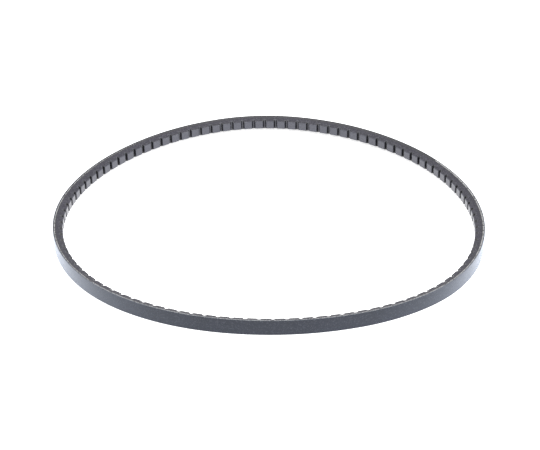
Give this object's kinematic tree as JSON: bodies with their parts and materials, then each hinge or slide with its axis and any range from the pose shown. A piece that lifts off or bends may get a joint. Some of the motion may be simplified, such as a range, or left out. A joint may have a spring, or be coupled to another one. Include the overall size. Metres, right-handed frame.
{
  "type": "cogged v belt",
  "caption": "Raw-edge cogged V-belt: an endless wedge-section rubber belt with moulded cogs inside, which drives grooved pulleys by its flanks.",
  "frame": {"origin": "middle of the loop's bounding box in plan, on the surface that the belt lies on", "axes": "+Z across the belt's width, up from the surface it lies on; X and Y span the loop"},
  "size_m": [0.366, 0.366, 0.013],
  "materials": {
    "back_fabric": "rubberised woven fabric, satin",
    "adhesion_rubber": "cut soft rubber, satin",
    "cord": "twisted polyester cord, dipped, cut fibres at the flanks",
    "compression_rubber": "raw cut, fibre-filled rubber, matte",
    "cog_fabric": "rubberised knitted fabric, satin"
  },
  "bodies": {
    "root": {"back_fabric": "back_fabric", "upper_adhesion_rubber": "adhesion_rubber", "tensile_cord": "cord", "lower_adhesion_rubber": "adhesion_rubber", "compression_rubber": "compression_rubber", "cog_fabric": "cog_fabric"}
  },
  "joints": []
}
